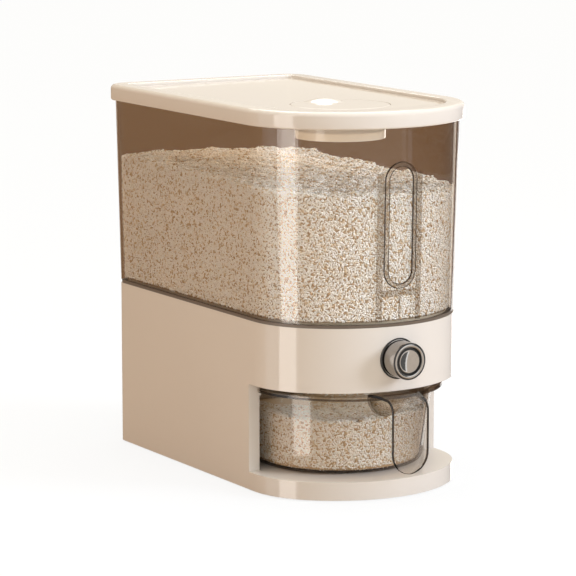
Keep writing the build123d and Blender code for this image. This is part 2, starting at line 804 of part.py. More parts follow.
def moisture_box():
    """Round box below the knob, grooved for its ring, with two locking lugs on its wall."""
    box = upright(puck_radius, puck_bottom, disc_bottom, 0, knob_y)
    box -= upright(puck_radius - puck_wall, puck_bottom, disc_bottom - puck_wall, 0, knob_y)
    groove = upright(puck_radius, ring_z - oring_groove, ring_z + oring_groove, 0, knob_y)
    groove -= upright(
        ring_radius - oring_groove, ring_z - oring_groove, ring_z + oring_groove, 0, knob_y
    )
    return box - groove + slab(lug_plan(0, 0), lug_top - lug_height, lug_top)


def moisture_grille():
    """Perforated disc that closes the box from below."""
    grille_radius = puck_radius - puck_wall - press_gap
    grille_top = puck_bottom + grille_thickness
    grille = upright(grille_radius, puck_bottom, grille_top, 0, knob_y)
    for ring in range(1, grille_rings + 1):
        radius = ring * (grille_radius - grille_edge) / grille_rings
        for place in PolarLocations(radius, grille_holes_more * ring):
            hole = upright(grille_hole_radius, puck_bottom, grille_top)
            grille -= Pos(0, knob_y, 0) * place * hole
    return grille


def moisture_sachet():
    """Flat round bag of drying beads."""
    bottom = puck_bottom + grille_thickness + seat_gap
    radius = puck_radius - puck_wall - sachet_gap
    bag = upright(radius, bottom, bottom + sachet_thickness, 0, knob_y)
    return fillet(bag.edges(), sachet_edge)


def moisture_oring():
    """Soft ring in the box's groove, against the lid's seat."""
    return Pos(0, knob_y, ring_z) * Torus(ring_radius, oring_wire)


def settle(shape):
    """Move a piece from the body's middle to the middle of the whole footprint."""
    return Pos(0, origin_shift, 0) * shape


foot_names = ("front_left", "front_right", "back_left", "back_right")
pieces = {
    "base_shell": base_shell,
    "bottom_cover": bottom_cover,
    "bottom_screws": bottom_screws,
    "funnel": funnel,
    "funnel_screws": funnel_screws,
    "gate_guide": gate_guide,
    "guide_screws": guide_screws,
    "slide_gate": slide_gate,
    "push_rod": push_rod,
    "retaining_clip": retaining_clip,
    "return_spring": return_spring,
    "button_sleeve": button_sleeve,
    "button_cap": button_cap,
    "button_insert": button_insert,
    "cup": cup,
    "cup_handle": cup_handle,
    "rail_left": lambda: rail(-1),
    "rail_right": lambda: rail(1),
    "tank": tank,
    "tank_seal": tank_seal,
    "lid": lid,
    "lid_gasket": lid_gasket,
    "moisture_knob": moisture_knob,
    "moisture_box": moisture_box,
    "moisture_grille": moisture_grille,
    "moisture_sachet": moisture_sachet,
    "moisture_oring": moisture_oring,
}

os.makedirs("parts", exist_ok=True)
for name, make in pieces.items():
    export_step(settle(make()), f"parts/{name}.step")
for name, (x, y) in zip(foot_names, foot_places):
    export_step(settle(foot(x, y)), f"parts/foot_{name}.step")
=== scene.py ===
import math

import bpy
import numpy as np
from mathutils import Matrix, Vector


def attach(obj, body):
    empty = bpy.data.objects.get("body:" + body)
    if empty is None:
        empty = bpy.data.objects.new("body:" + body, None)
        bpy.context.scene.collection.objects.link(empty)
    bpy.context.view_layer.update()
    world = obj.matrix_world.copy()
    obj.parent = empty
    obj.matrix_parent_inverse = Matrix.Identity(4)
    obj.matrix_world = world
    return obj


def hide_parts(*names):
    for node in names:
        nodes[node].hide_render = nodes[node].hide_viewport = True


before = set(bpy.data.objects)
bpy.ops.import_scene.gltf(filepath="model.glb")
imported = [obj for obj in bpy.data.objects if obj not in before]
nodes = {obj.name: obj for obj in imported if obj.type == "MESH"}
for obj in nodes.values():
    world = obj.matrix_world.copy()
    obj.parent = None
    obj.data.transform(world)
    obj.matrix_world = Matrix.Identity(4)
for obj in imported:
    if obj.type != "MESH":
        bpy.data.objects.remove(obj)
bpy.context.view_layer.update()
scene = bpy.context.scene
mm = 0.001


# ---- Housing
# The cream lower body: one moulding in glossy ABS with a rounded front, a band that carries
# the button, an open mouth below it for the cup, and a lip in front of the cup.
body_half_width = 94.5
body_front_y = -160.0
body_back_y = 172.0
front_radius = 105.0
shoulder_radius = 72.0
back_corner = 12.0
base_bottom = 1.0
lip_top = 16.5
mouth_top = 92.9
base_top = 148.0
base_wall = 3.0
deck_thickness = 2.5
jamb_y = -71.0
bay_half_width = 84.0
bay_back_y = 8.0
bay_wall = 2.5
button_z = 120.45
button_hole_radius = 17.7
boss_wall = 3.0
boss_back_y = -147.0
boss_front_y = -162.5
hole_front_y = -170.0
beyond_side = 120.0              # cutters run this far past the body's sides
beyond_front = -200.0            # and this far past its front
edge_round = 0.9


def body_plan():
    """Points round the body's plan, each with its outward direction."""
    shoulder_x = body_half_width - shoulder_radius
    turn = math.degrees(math.asin(shoulder_x / (front_radius - shoulder_radius)))
    centre_y = body_front_y + front_radius
    shoulder_y = centre_y - math.sqrt((front_radius - shoulder_radius) ** 2 - shoulder_x**2)
    corner_x = body_half_width - back_corner
    corner_y = body_back_y - back_corner
    arcs = [
        (0, centre_y, front_radius, 270 - turn, 270 + turn, 32, False),
        (shoulder_x, shoulder_y, shoulder_radius, 270 + turn, 360, 16, True),
        (corner_x, corner_y, back_corner, 0, 90, 10, True),
        (-corner_x, corner_y, back_corner, 90, 180, 10, True),
        (-shoulder_x, shoulder_y, shoulder_radius, 180, 270 - turn, 16, False),
    ]
    points = []
    for x, y, radius, start, end, steps, closes in arcs:
        for step in range(steps + closes):
            angle = math.radians(start + (end - start) * step / steps)
            across, along = math.cos(angle), math.sin(angle)
            points.append((x + radius * across, y + radius * along, across, along))
    return np.array(points)


plan = body_plan()


def plan_ring(grow, z):
    """The body's plan at one height, grown evenly outwards."""
    ring = plan[:, :2] + grow * plan[:, 2:]
    return np.column_stack([ring, np.full(len(ring), z)])


def make_piece(name, points, faces):
    """An object from points in millimetres and the faces over them."""
    mesh = bpy.data.meshes.new(name)
    mesh.from_pydata((np.asarray(points, float) * mm).tolist(), [], faces)
    mesh.validate()
    piece = bpy.data.objects.new(name, mesh)
    scene.collection.objects.link(piece)
    return piece


def stack(name, rings, closed=False):
    """A solid through rings of equal count: capped at both ends, or closed on itself."""
    count = len(rings[0])
    points = np.concatenate(rings)
    faces = []
    last = len(rings) if closed else len(rings) - 1
    for level in range(last):
        low = level * count
        high = ((level + 1) % len(rings)) * count
        for i in range(count):
            j = (i + 1) % count
            faces.append((low + i, low + j, high + j, high + i))
    if not closed:
        top = (len(rings) - 1) * count
        faces.append(tuple(reversed(range(count))))
        faces.append(tuple(range(top, top + count)))
    return make_piece(name, points, faces)


def body_block(grow, bottom, top):
    """A block of the body's plan between two heights."""
    return stack("block", [plan_ring(grow, bottom), plan_ring(grow, top)])


def box_block(low, high):
    """A box from its lowest to its highest corner."""
    corners = [(low[0], low[1]), (high[0], low[1]), (high[0], high[1]), (low[0], high[1])]
    return stack("block", [np.array([(x, y, z) for x, y in corners]) for z in (low[2], high[2])])


def round_bar(radius, start, end, axis="z", centre=(0.0, 0.0), steps=72):
    """A round bar along one axis; centre gives its place on the other two."""
    angles = np.arange(steps) * 2 * math.pi / steps
    a = centre[0] + radius * np.cos(angles)
    b = centre[1] + radius * np.sin(angles)
    if axis == "z":
        rings = [np.column_stack([a, b, np.full(steps, z)]) for z in (start, end)]
    else:
        rings = [np.column_stack([a, np.full(steps, y), b]) for y in (start, end)]
    return stack("bar", rings)


def merge(piece, other, how):
    """Add, cut or intersect one solid with another, and drop the other."""
    step = piece.modifiers.new("solid", "BOOLEAN")
    step.operation = how
    step.object = other
    step.solver = "EXACT"
    graph = bpy.context.evaluated_depsgraph_get()
    mesh = bpy.data.meshes.new_from_object(piece.evaluated_get(graph))
    piece.modifiers.clear()
    old = piece.data
    piece.data = mesh
    bpy.data.meshes.remove(old)
    bpy.data.objects.remove(other)
    return piece


def cut(piece, other):
    """Cut one solid out of another."""
    return merge(piece, other, "DIFFERENCE")


def soften(piece, width, angle=38.0, steps=3):
    """Round every sharp edge of a moulding, as its tool leaves it."""
    piece.data.shade_smooth()
    rounding = piece.modifiers.new("rounding", "BEVEL")
    rounding.width = width * mm
    rounding.segments = steps
    rounding.limit_method = "ANGLE"
    rounding.angle_limit = math.radians(angle)
    rounding.harden_normals = True
    return piece


def node(tree, kind, values=None):
    """A new shader node, with values for some of its inputs."""
    made = tree.nodes.new("ShaderNode" + kind)
    for name, value in (values or {}).items():
        made.inputs[name].default_value = value
    return made


def node_chain(material):
    """The material's node tree, cleared but for its output."""
    material.use_nodes = True
    tree = material.node_tree
    tree.nodes.clear()
    return tree, node(tree, "OutputMaterial")


def noise(tree, scale, detail=3.0):
    """Noise in the object's own coordinates."""
    texture = node(tree, "TexNoise", {"Scale": scale, "Detail": detail, "Roughness": 0.55})
    tree.links.new(node(tree, "TexCoord").outputs["Object"], texture.inputs["Vector"])
    return texture.outputs["Fac"]


def spread(tree, value, low, high):
    """A value from 0 to 1 spread between two others."""
    ranged = node(tree, "MapRange", {
        "From Min": 0.3, "From Max": 0.7, "To Min": low, "To Max": high
    })
    tree.links.new(value, ranged.inputs["Value"])
    return ranged.outputs["Result"]


def tinted(tree, value, stops):
    """A colour that runs through the given ones; each stop is (place, colour)."""
    made = node(tree, "ValToRGB")
    ramp = made.color_ramp.elements
    for end, (place, colour) in zip((0, 1), (stops[0], stops[-1])):
        ramp[end].position = place
        ramp[end].color = (*colour, 1)
    for place, colour in stops[1:-1]:
        ramp.new(place).color = (*colour, 1)
    tree.links.new(value, made.inputs["Fac"])
    return made.outputs["Color"]


def grained(tree, scale, depth, strength=0.35):
    """The shallow grain of a moulded face."""
    bump = node(tree, "Bump", {"Strength": strength, "Distance": depth * mm})
    tree.links.new(noise(tree, scale, 2.0), bump.inputs["Height"])
    return bump.outputs["Normal"]


def moulded(name, colour, roughness, grain_scale=900.0, grain_depth=0.03, uneven=0.01):
    """Injection-moulded plastic: faintly uneven colour and gloss over a very fine grain."""
    material = bpy.data.materials.new(name)
    tree, output = node_chain(material)
    shader = node(tree, "BsdfPrincipled", {"IOR": 1.5})
    dark = [c * (1 - uneven) for c in colour]
    light = [min(1.0, c * (1 + uneven)) for c in colour]
    shade = tinted(tree, noise(tree, 6.0, 1.0), [(0.3, dark), (0.7, light)])
    gloss = spread(tree, noise(tree, 9.0, 1.0), roughness * 0.92, roughness * 1.08)
    tree.links.new(shade, shader.inputs["Base Color"])
    tree.links.new(gloss, shader.inputs["Roughness"])
    tree.links.new(grained(tree, grain_scale, grain_depth), shader.inputs["Normal"])
    tree.links.new(shader.outputs["BSDF"], output.inputs["Surface"])
    return material


def dress(piece, *materials):
    """Give a piece its material, in place of what it had."""
    piece.data.materials.clear()
    for material in materials:
        piece.data.materials.append(material)


cream = (0.735, 0.655, 0.572)
cream_plastic = moulded("cream_plastic", cream, 0.07, 900.0, 0.004)

housing = body_block(0, base_bottom, base_top)
cut(housing, body_block(-base_wall, base_bottom - 1, lip_top - deck_thickness))
hollow = body_block(-base_wall, lip_top, base_top + 1)
bay_walls = box_block(
    (-bay_half_width - bay_wall, jamb_y - 4, lip_top - 1),
    (bay_half_width + bay_wall, bay_back_y + bay_wall, mouth_top + 1),
)
cut(bay_walls, box_block((-bay_half_width, jamb_y - 5, 10), (bay_half_width, bay_back_y, 100)))
cut(hollow, bay_walls)
for side in (-1, 1):
    left, right = sorted((side * bay_half_width, side * beyond_side))
    cut(hollow, box_block(
        (left, jamb_y - 4, lip_top - 1), (right, jamb_y + bay_wall, mouth_top + 1)
    ))
boss = round_bar(
    button_hole_radius + boss_wall, boss_front_y, boss_back_y, "y", (0, button_z)
)
cut(hollow, boss)
cut(housing, hollow)
cut(housing, box_block((-beyond_side, beyond_front, lip_top), (beyond_side, jamb_y, mouth_top)))
cut(housing, round_bar(button_hole_radius, hole_front_y, boss_back_y + 1, "y", (0, button_z)))
housing.name = "housing_shell"
soften(housing, edge_round)
dress(housing, cream_plastic)
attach(housing, "housing")
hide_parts("base_shell")


# ---- Underside
# A flat cover closes the housing from below. Six steel screws hold it, their heads sunk
# flush, and four soft pads are stuck in round pockets.
cover_plastic = moulded("cover_plastic", (0.69, 0.61, 0.53), 0.42)
pad_rubber = moulded("pad_rubber", (0.055, 0.052, 0.05), 0.62, 500.0, 0.08, 0.12)


def brushed(name, colour, roughness):
    """Plain metal with fine scratches."""
    material = bpy.data.materials.new(name)
    tree, output = node_chain(material)
    shader = node(tree, "BsdfPrincipled", {"Metallic": 1.0})
    dark = [c * 0.93 for c in colour]
    shade = tinted(tree, noise(tree, 180.0), [(0.3, dark), (0.7, colour)])
    gloss = spread(tree, noise(tree, 420.0), roughness * 0.7, roughness * 1.3)
    tree.links.new(shade, shader.inputs["Base Color"])
    tree.links.new(gloss, shader.inputs["Roughness"])
    tree.links.new(shader.outputs["BSDF"], output.inputs["Surface"])
    return material


screw_steel = brushed("screw_steel", (0.62, 0.60, 0.57), 0.3)
dress(nodes["bottom_cover"], cover_plastic)
for name in ("bottom_screws", "funnel_screws", "guide_screws"):
    dress(nodes[name], screw_steel)
for corner in ("front_left", "front_right", "back_left", "back_right"):
    dress(nodes[f"foot_{corner}"], pad_rubber)


# ---- Funnel, gate and rails
# Parts in plain polypropylene inside the housing: the sloped floor of the tank, the guide
# and chute under it, the sliding shutter, and the two strips that the cup runs on.
inner_plastic = moulded("inner_plastic", (0.78, 0.73, 0.66), 0.4)
gate_plastic = moulded("gate_plastic", (0.72, 0.70, 0.67), 0.36)
for name in ("funnel", "gate_guide", "rail_left", "rail_right"):
    dress(nodes[name], inner_plastic)
dress(nodes["slide_gate"], gate_plastic)


# ---- Seals
# Soft dark rubber rings, each moulded in one piece: one lies in the seam between the
# housing and the tank, one seals the lid and one the moisture box.
seal_rubber = moulded("seal_rubber", (0.15, 0.11, 0.08), 0.5, 500.0, 0.05, 0.1)
dress(nodes["tank_seal"], seal_rubber)
dress(nodes["lid_gasket"], seal_rubber)
dress(nodes["moisture_oring"], seal_rubber)


# ---- Tank
# The storage tank is moulded in clear smoky styrene. Its walls lean out a little towards
# the lid; a rounded bead and flat ribs stand on its front and mark the level window.
tank_bottom = 150.6
tank_top = 325.1
lid_bottom = 315.7
tank_spread = 3.7
tank_wall = 2.6
skirt_outer = -3.4
skirt_inner = -5.9
skirt_bottom = 145.3
foot_top = 152.6
bead_half_width = 13.6
bead_bottom = 182.2
bead_top = 285.4
bead_width = 4.4
bead_height = 1.8
bead_root = -0.4
bead_sides = 14
# The flanks listed here are tinted near black: painted shade.
bead_dark_sides = (0, 1, 5, 6)   # its two flanks
rib_near = 16.6
rib_far = 22.0
rib_top = 278.0
rib_height = 0.7
rib_root = -0.4
rib_round = 0.25
rib_cross_bottom = 173.8
rib_cross_top = 179.2
rib_centre_half = 0.8
smoke = (0.985, 0.97, 0.95)
smoke_edge = (0.66, 0.55, 0.44)


def lean(z):
    """How far the tank's wall has leaned out at a height."""
    return tank_spread * (z - tank_bottom) / (lid_bottom - tank_bottom)


def worked_out(tree, operation, value, number):
    """One value worked out from another and a number."""
    step = node(tree, "Math", {1: number})
    step.operation = operation
    tree.links.new(value, step.inputs[0])
    return step.outputs[0]


def mixed(tree, share, first, second):
    """Two surfaces mixed by a value: 0 gives the first and 1 the second."""
    mix = node(tree, "MixShader")
    tree.links.new(share, mix.inputs["Fac"])
    tree.links.new(first.outputs[0], mix.inputs[1])
    tree.links.new(second.outputs[0], mix.inputs[2])
    return mix


def clear_plastic(name, tint, edge_tint, gloss=1.0, edge_power=3.0):
    """See-through plastic: each face tints what is behind it, more so where it is seen
    edge-on, and mirrors the room a little, as a thin clear wall does."""
    material = bpy.data.materials.new(name)
    tree, output = node_chain(material)
    facing = node(tree, "LayerWeight", {"Blend": 0.5}).outputs["Facing"]
    tint_mix = node(tree, "Mix")
    tint_mix.data_type = "RGBA"
    tint_mix.inputs["A"].default_value = (*tint, 1)
    tint_mix.inputs["B"].default_value = (*edge_tint, 1)
    tree.links.new(worked_out(tree, "POWER", facing, edge_power), tint_mix.inputs["Factor"])
    through = node(tree, "BsdfTransparent")
    tree.links.new(tint_mix.outputs["Result"], through.inputs["Color"])
    mirror = node(tree, "BsdfGlossy", {"Roughness": 0.03})
    tree.links.new(grained(tree, 28.0, 0.5, 0.12), mirror.inputs["Normal"])
    share = node(tree, "MapRange", {"To Min": 0.045 * gloss, "To Max": 0.75 * gloss})
    tree.links.new(worked_out(tree, "POWER", facing, 5.0), share.inputs["Value"])
    surface = mixed(tree, share.outputs["Result"], through, mirror)
    shadow_tint = (*[0.25 * c + 0.75 for c in tint], 1)
    shadow = node(tree, "BsdfTransparent", {"Color": shadow_tint})
    in_shadow = node(tree, "LightPath").outputs["Is Shadow Ray"]
    choice = mixed(tree, in_shadow, surface, shadow)
    tree.links.new(choice.outputs["Shader"], output.inputs["Surface"])
    return material


def smooth(piece, angle):
    """Shade a piece as smooth, but for edges sharper than an angle."""
    piece.data.shade_smooth()
    piece.data.set_sharp_from_angle(angle=math.radians(angle))


smoky_plastic = clear_plastic("smoky_plastic", smoke, smoke_edge)
bead_plastic = clear_plastic("bead_plastic", (0.94, 0.91, 0.87), (0.05, 0.03, 0.02), 1.6, 1.3)
rib_plastic = clear_plastic("rib_plastic", (0.86, 0.83, 0.79), (0.35, 0.27, 0.2), 1.2)

wall_steps = [(-0.9, tank_bottom), (-0.25, 150.85), (0.0, 151.5)]
wall_steps += [(0.0, 324.0), (-0.4, 324.8), (-1.3, tank_top), (-2.2, 324.8), (-tank_wall, 324.0)]
tank_rings = [plan_ring(inset + lean(z), z) for inset, z in wall_steps]
tank_rings += [
    plan_ring(-tank_wall + lean(foot_top), foot_top), plan_ring(skirt_inner, foot_top),
    plan_ring(skirt_inner, skirt_bottom), plan_ring(skirt_outer, skirt_bottom),
    plan_ring(skirt_outer, tank_bottom),
]
tank = stack("tank_wall", tank_rings, closed=True)
smooth(tank, 40)
dress(tank, smoky_plastic)
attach(tank, "housing")
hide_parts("tank")


def front_point(x, z, out):
    """A point at a place across the tank's rounded front, standing out from its face."""
    radius = front_radius + lean(z) + out
    angle = math.asin(x / radius)
    return (x, body_front_y + front_radius - radius * math.cos(angle), z)


def bead_path(steps=18):
    """The bead's middle line round the level window, with its outward direction."""
    path = []
    upper, lower = bead_top - bead_half_width, bead_bottom + bead_half_width
    for centre_z, start in ((upper, 0.0), (lower, math.pi)):
        for i in range(steps + 1):
            angle = start + math.pi * i / steps
            x, z = math.cos(angle), math.sin(angle)
            path.append((x * bead_half_width, centre_z + z * bead_half_width, x, z))
    return path


def bead():
    """A half-round bar on the tank's face that follows the bead's path."""
    rings = []
    for x, z, out_x, out_z in bead_path():
        ring = []
        for k in range(bead_sides):
            angle = 2 * math.pi * k / bead_sides
            bulge = abs(math.sin(angle)) ** 0.5
            across = math.copysign(abs(math.cos(angle)) ** 0.6, math.cos(angle)) * bead_width / 2
            height = bulge * bead_height if math.sin(angle) > 0 else bead_root * bulge
            ring.append(front_point(x + out_x * across, z + out_z * across, height))
        rings.append(np.array(ring))
    return stack("tank_bead", rings, closed=True)


# The bead's flanks take a near-black tint: painted shade for clear plastic seen edge-on.
bead_shade = clear_plastic("bead_shade", (0.15, 0.11, 0.08), (0.06, 0.045, 0.035), 0.9, 1.3)
tank_bead = bead()
tank_bead.data.shade_smooth()
dress(tank_bead, bead_plastic, bead_shade)
for face in tank_bead.data.polygons:
    face.material_index = int(face.index % bead_sides in bead_dark_sides)
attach(tank_bead, "housing")


def rib(name, left, right, bottom, top, steps=6):
    """A flat strip that stands on the tank's front."""
    places = [left + (right - left) * i / steps for i in range(steps + 1)]
    rings = []
    for out in (rib_root, rib_height):
        low = [front_point(x, bottom, out) for x in places]
        high = [front_point(x, top, out) for x in places]
        rings.append(np.array(low + high[::-1]))
    return soften(stack(name, rings), rib_round)


tank_ribs = [
    rib("tank_rib_left", -rib_far, -rib_near, foot_top, rib_top),
    rib("tank_rib_right", rib_near, rib_far, foot_top, rib_top),
    rib("tank_rib_cross", -rib_near, rib_near, rib_cross_bottom, rib_cross_top, 12),
    rib("tank_rib_centre", -rib_centre_half, rib_centre_half, foot_top, rib_cross_bottom, 2),
]
for strip in tank_ribs:
    dress(strip, rib_plastic)
    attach(strip, "housing")


# ---- Rice in the tank
# Short-grain rice fills the tank to about two thirds of its height. A dull mass fills the
# volume, dark brown on its sides as painted shade in the gaps between the grains and lighter
# on its top as painted light; whole grains lie against the walls and over the uneven top.
rice_seed = 7
grain_length = 3.3
grain_width = 1.75
grain_pitch = 1.86
wall_inset = 3.0
grain_cover = 1.0                # the mass stays this far under the top grains
mass_inset = 1.6                 # and this far behind the grains at the wall
mass_foot_inset = 6.4
mass_turn_z = 156.0
rice_rim_z = 260.0
wall_grain_height = 112.0
first_grain_lift = 0.9
mass_top_from = 200.0
mass_floor_to = 154.0
top_width = 184.0
top_depth = 326.0
top_front = -158.0
rice_random = np.random.default_rng(rice_seed)


def rice_level(x, y):
    """Height of the rice at a place: a low mound, falling to the right, with small dips."""
    x, y = np.asarray(x, float), np.asarray(y, float)
    level = 260.5 - 0.022 * x + 0.012 * y
    level = level + 9.0 * np.exp(-(((x + 15) / 62) ** 2) - ((y - 55) / 85) ** 2)
    level = level + 1.3 * np.sin(x * 0.11 + 1.2) * np.cos(y * 0.07)
    level = level + 0.8 * np.sin(x * 0.23 + y * 0.19) + 0.5 * np.sin(x * 0.37 - y * 0.31 + 2)
    return level


def grain_shape():
    """One grain: a short plump body with blunt ends, 12 triangles."""
    points = [(-0.5, 0, 0)]
    for x, r in ((-0.27, 0.46), (0.25, 0.5)):
        for k in range(3):
            angle = math.pi / 2 + k * math.pi * 2 / 3
            points.append((x, r * math.cos(angle), r * math.sin(angle)))
    points.append((0.5, 0.05, 0))
    faces = []
    for k in range(3):
        n = (k + 1) % 3
        faces += [(0, 1 + n, 1 + k), (7, 4 + k, 4 + n)]
        faces += [(1 + k, 1 + n, 4 + n), (1 + k, 4 + n, 4 + k)]
    return np.array(points), np.array(faces)


def heap_of_grains(name, centres, along, normals, tilt, random):
    """Grains at the given places, their length near the given faces, in one mesh."""
    shape, faces = grain_shape()
    count = len(centres)
    spin = random.uniform(0, math.pi, count)[:, None]
    side = np.cross(normals, along)
    length_axis = np.cos(spin) * along + np.sin(spin) * side
    length_axis += normals * random.normal(0, tilt, count)[:, None]
    length_axis /= np.linalg.norm(length_axis, axis=1)[:, None]
    width_axis = np.cross(length_axis, normals)
    width_axis /= np.linalg.norm(width_axis, axis=1)[:, None]
    height_axis = np.cross(length_axis, width_axis)
    size = random.uniform(0.85, 1.12, count)[:, None]
    local = shape[None] * np.array([grain_length, grain_width, grain_width])
    points = centres[:, None] + size[:, None] * (
        local[..., :1] * length_axis[:, None]
        + local[..., 1:2] * width_axis[:, None]
        + local[..., 2:] * height_axis[:, None]
    )
    corners = (faces[None] + (np.arange(count) * len(shape))[:, None, None]).reshape(-1)
    mesh = bpy.data.meshes.new(name)
    mesh.vertices.add(count * len(shape))
    mesh.vertices.foreach_set("co", (points.reshape(-1) * mm).astype(np.float32))
    mesh.loops.add(len(corners))
    mesh.loops.foreach_set("vertex_index", corners.astype(np.int32))
    mesh.polygons.add(len(corners) // 3)
    mesh.polygons.foreach_set("loop_start", np.arange(0, len(corners), 3, dtype=np.int32))
    shade = mesh.attributes.new("grain_shade", "FLOAT", "POINT")
    shade.data.foreach_set(
        "value", np.repeat(random.uniform(0, 1, count), len(shape)).astype(np.float32)
    )
    mesh.update(calc_edges=True)
    mesh.validate()
    mesh.shade_smooth()
    piece = bpy.data.objects.new(name, mesh)
    scene.collection.objects.link(piece)
    return piece


def rice_finish(name, colours):
    """Rice: each grain its own shade, from chalky to golden, with a few brown ones."""
    material = bpy.data.materials.new(name)
    tree, output = node_chain(material)
    grain = node(tree, "Attribute")
    grain.attribute_name = "grain_shade"
    shader = node(tree, "BsdfPrincipled", {"Roughness": 0.5, "Specular IOR Level": 0.35})
    shade = tinted(tree, grain.outputs["Fac"], colours)
    tree.links.new(shade, shader.inputs["Base Color"])
    tree.links.new(shader.outputs["BSDF"], output.inputs["Surface"])
    return material


rice_grain = rice_finish("rice_grain", [
    (0.0, (0.50, 0.32, 0.16)), (0.12, (0.82, 0.66, 0.46)), (0.26, (0.97, 0.91, 0.82)),
    (0.6, (0.98, 0.95, 0.89)), (1.0, (0.99, 0.97, 0.94)),
])
# Two copies of one mass colour: a dark one, painted shade between the grains, and a light one,
# painted light on the top.
shaded_rice_mass = moulded("shaded_rice_mass", (0.58, 0.40, 0.23), 0.8, 400.0, 0.3, 0.2)
lit_rice_mass_top = moulded("lit_rice_mass_top", (0.82, 0.68, 0.50), 0.8, 400.0, 0.3, 0.1)


def heap_top(rim, centre, level, shares):
    """Rings over the top of a heap, from its rim towards its middle."""
    rim[:, 2] = level(rim[:, 0], rim[:, 1]) - grain_cover
    rings = [rim]
    for share in shares:
        ring = rim.copy()
        ring[:, :2] = centre + (rim[:, :2] - centre) * share
        ring[:, 2] = level(ring[:, 0], ring[:, 1]) - grain_cover
        rings.append(ring)
    return rings


def rice_body():
    """The filled volume under the grains."""
    rings = [plan_ring(-mass_foot_inset, z) for z in (skirt_bottom + 0.2, foot_top)]
    rings.append(plan_ring(-wall_inset - mass_inset + lean(mass_turn_z), mass_turn_z))
    rim = plan_ring(-wall_inset - mass_inset + lean(rice_rim_z), 0)
    rings += heap_top(rim, np.array([0.0, 6.0]), rice_level, np.linspace(0.96, 0.04, 24))
    return stack("rice_mass_tank", rings)


rice_fill = rice_body()
rice_fill.data.shade_smooth()
dress(rice_fill, shaded_rice_mass, lit_rice_mass_top)
# Top faces and the lowest faces take the light copy (painted light); the sides take the dark copy
# (painted shade between the grains).
for face in rice_fill.data.polygons:
    height = face.center.z / mm
    on_top = height > mass_top_from and abs(face.normal.z) > 0.6
    face.material_index = int(on_top or height < mass_floor_to)
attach(rice_fill, "housing")


def loose_grid(width, height, random):
    """Places spread evenly but not in line over a width and a height of 0 to 1."""
    across, up = int(width / grain_pitch), int(height / grain_pitch)
    grid = np.stack(np.meshgrid(np.arange(across), np.arange(up)), -1)
    grid = grid.reshape(-1, 2).astype(float)
    grid[:, 0] += 0.5 * (grid[:, 1] % 2)
    grid += random.uniform(-0.34, 0.34, grid.shape) + 0.4
    return (grid[:, 0] / across) % 1.0, np.clip(grid[:, 1] / up, 0.0, 1.0)


def round_the_wall(ring, height, random):
    """Places spread over a wall: which stretch of its plan, how far along it, how high."""
    length = np.linalg.norm(np.roll(ring, -1, axis=0) - ring, axis=1)
    starts = np.concatenate([[0], np.cumsum(length)])
    way, rise = loose_grid(starts[-1], height, random)
    way = way * starts[-1]
    which = np.searchsorted(starts, way, side="right") - 1
    return which, ((way - starts[which]) / length[which])[:, None], rise


def between(ring, which, share):
    """Points part of the way along stretches of a ring."""
    return ring[which] * (1 - share) + np.roll(ring, -1, axis=0)[which] * share


def wall_grains(name, ys, random):
    """Grains that lie against the inside of the tank's wall, between two places in depth."""
    ring = plan_ring(0, 0)[:, :2]
    which, share, rise = round_the_wall(ring, wall_grain_height, random)
    count = len(which)
    place = between(ring, which, share)
    out = between(plan[:, 2:], which, share)
    out /= np.linalg.norm(out, axis=1)[:, None]
    top = rice_level(place[:, 0], place[:, 1])
    z = foot_top + first_grain_lift + (top - foot_top - first_grain_lift) * rise
    inset = wall_inset + grain_width * 0.5 + random.uniform(0, 0.7, count)
    place = place + out * (lean(z) - inset)[:, None]
    chosen = (place[:, 1] >= ys[0]) & (place[:, 1] < ys[1])
    centres = np.column_stack([place, z])[chosen]
    normals = np.column_stack([out, np.zeros(count)])[chosen]
    upright = np.tile([0.0, 0.0, 1.0], (len(centres), 1))
    return heap_of_grains(name, centres, upright, normals, 0.12, random)


def lying_grains(name, x, y, level, jitter, random):
    """Grains over the top of a heap, each lying nearly flat."""
    count = len(x)
    z = level(x, y) + random.uniform(*jitter, count)
    centres = np.column_stack([x, y, z])
    normals = np.column_stack([random.normal(0, 0.2, (count, 2)), np.ones(count)])
    normals /= np.linalg.norm(normals, axis=1)[:, None]
    along = np.cross(normals, np.tile([0.0, 1.0, 0.0], (count, 1)))
    along /= np.linalg.norm(along, axis=1)[:, None]
    return heap_of_grains(name, centres, along, normals, 0.25, random)


def top_grains(name, random):
    """Grains over the top of the rice, within the tank's plan."""
    across, along = loose_grid(top_width, top_depth, random)
    x, y = across * top_width - top_width / 2, along * top_depth + top_front
    limit = plan_ring(-wall_inset - 1.8 + lean(rice_rim_z), 0)[:, :2]
    turn = np.zeros(len(x))
    for a, b in zip(limit, np.roll(limit, -1, axis=0)):
        crosses = (a[1] > y) != (b[1] > y)
        with np.errstate(divide="ignore", invalid="ignore"):
            at = a[0] + (y - a[1]) * (b[0] - a[0]) / (b[1] - a[1])
        turn += crosses & (x < at)
    inside = turn % 2 == 1
    return lying_grains(name, x[inside], y[inside], rice_level, (-0.6, 0.8), random)


for grains in (
    wall_grains("rice_grains_front", (-200, 20), rice_random),
    wall_grains("rice_grains_back", (20, 200), rice_random),
    top_grains("rice_grains_top", rice_random),
):
    dress(grains, rice_grain)
    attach(grains, "housing")


# ---- Lid
# A shallow cream cap over the tank. Its top has a raised rim round a sunk deck, and a
# plug wall inside drops into the tank.
lid_overhang = 8.0
lid_top = 330.0
lid_ceiling = 327.4
lid_wall = 2.6
lid_fillet = 4.0
lid_foot = 1.8
recess_inset = -8.5
recess_rim = 2.0
recess_foot = 0.6
recess_floor = 326.7
deck_bottom = 323.7
plug_outer = 0.7
plug_wall = 2.2
plug_bottom = 317.4
knob_y = -65.0
knob_well = 43.3
seat_wall = 3.0
seat_bottom = 320.1
puck_top = 324.1
seat_hole = 39.3


